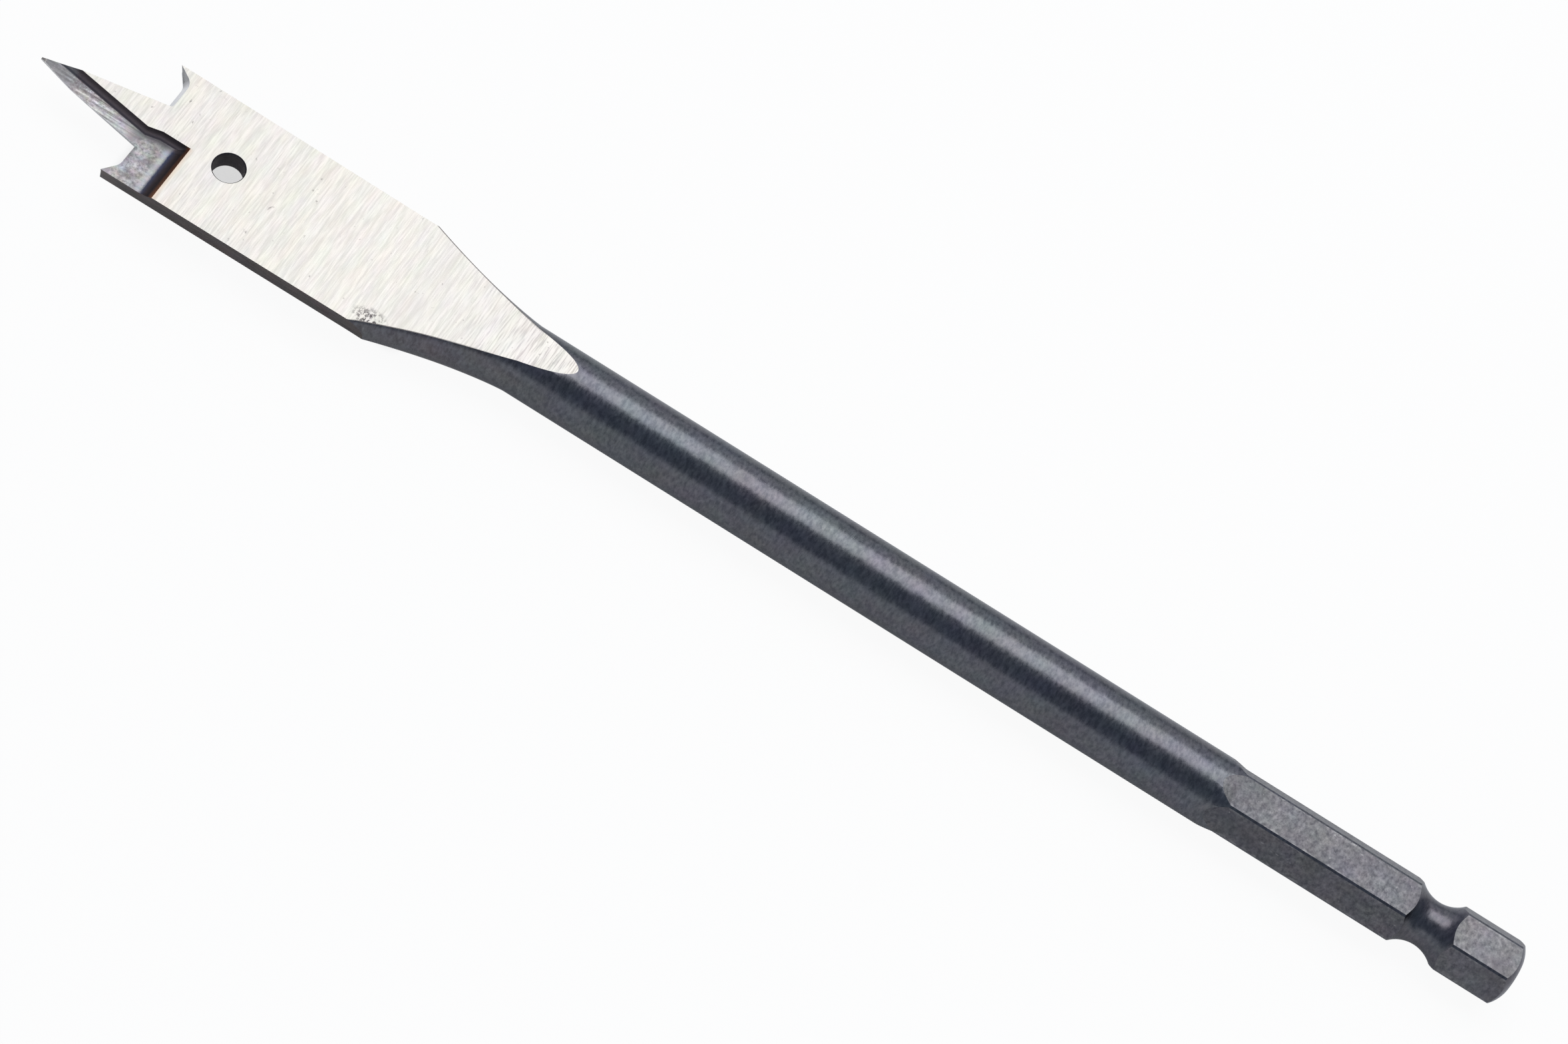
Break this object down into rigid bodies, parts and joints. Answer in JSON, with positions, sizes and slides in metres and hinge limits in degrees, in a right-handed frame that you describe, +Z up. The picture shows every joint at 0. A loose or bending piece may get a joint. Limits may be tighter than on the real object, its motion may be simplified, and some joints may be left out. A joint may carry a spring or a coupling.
{
  "type": "spade drill bit",
  "caption": "Wood-boring spade bit: grooved hexagonal drive end, round shank forged into a flat ground blade, long centre point, spurred lips and a pull hole.",
  "frame": {"origin": "on the surface that the bit rests on, under the middle of its length", "axes": "+X along the bit towards its point, +Z up, away from the surface it rests on"},
  "size_m": [0.165, 0.0144, 0.0072],
  "materials": {
    "steel": "ground bright on the blade faces, black oxide on the shank and the forged taper, dark along the blade's sides"
  },
  "bodies": {
    "root": {"spade_bit": "steel"}
  },
  "joints": []
}
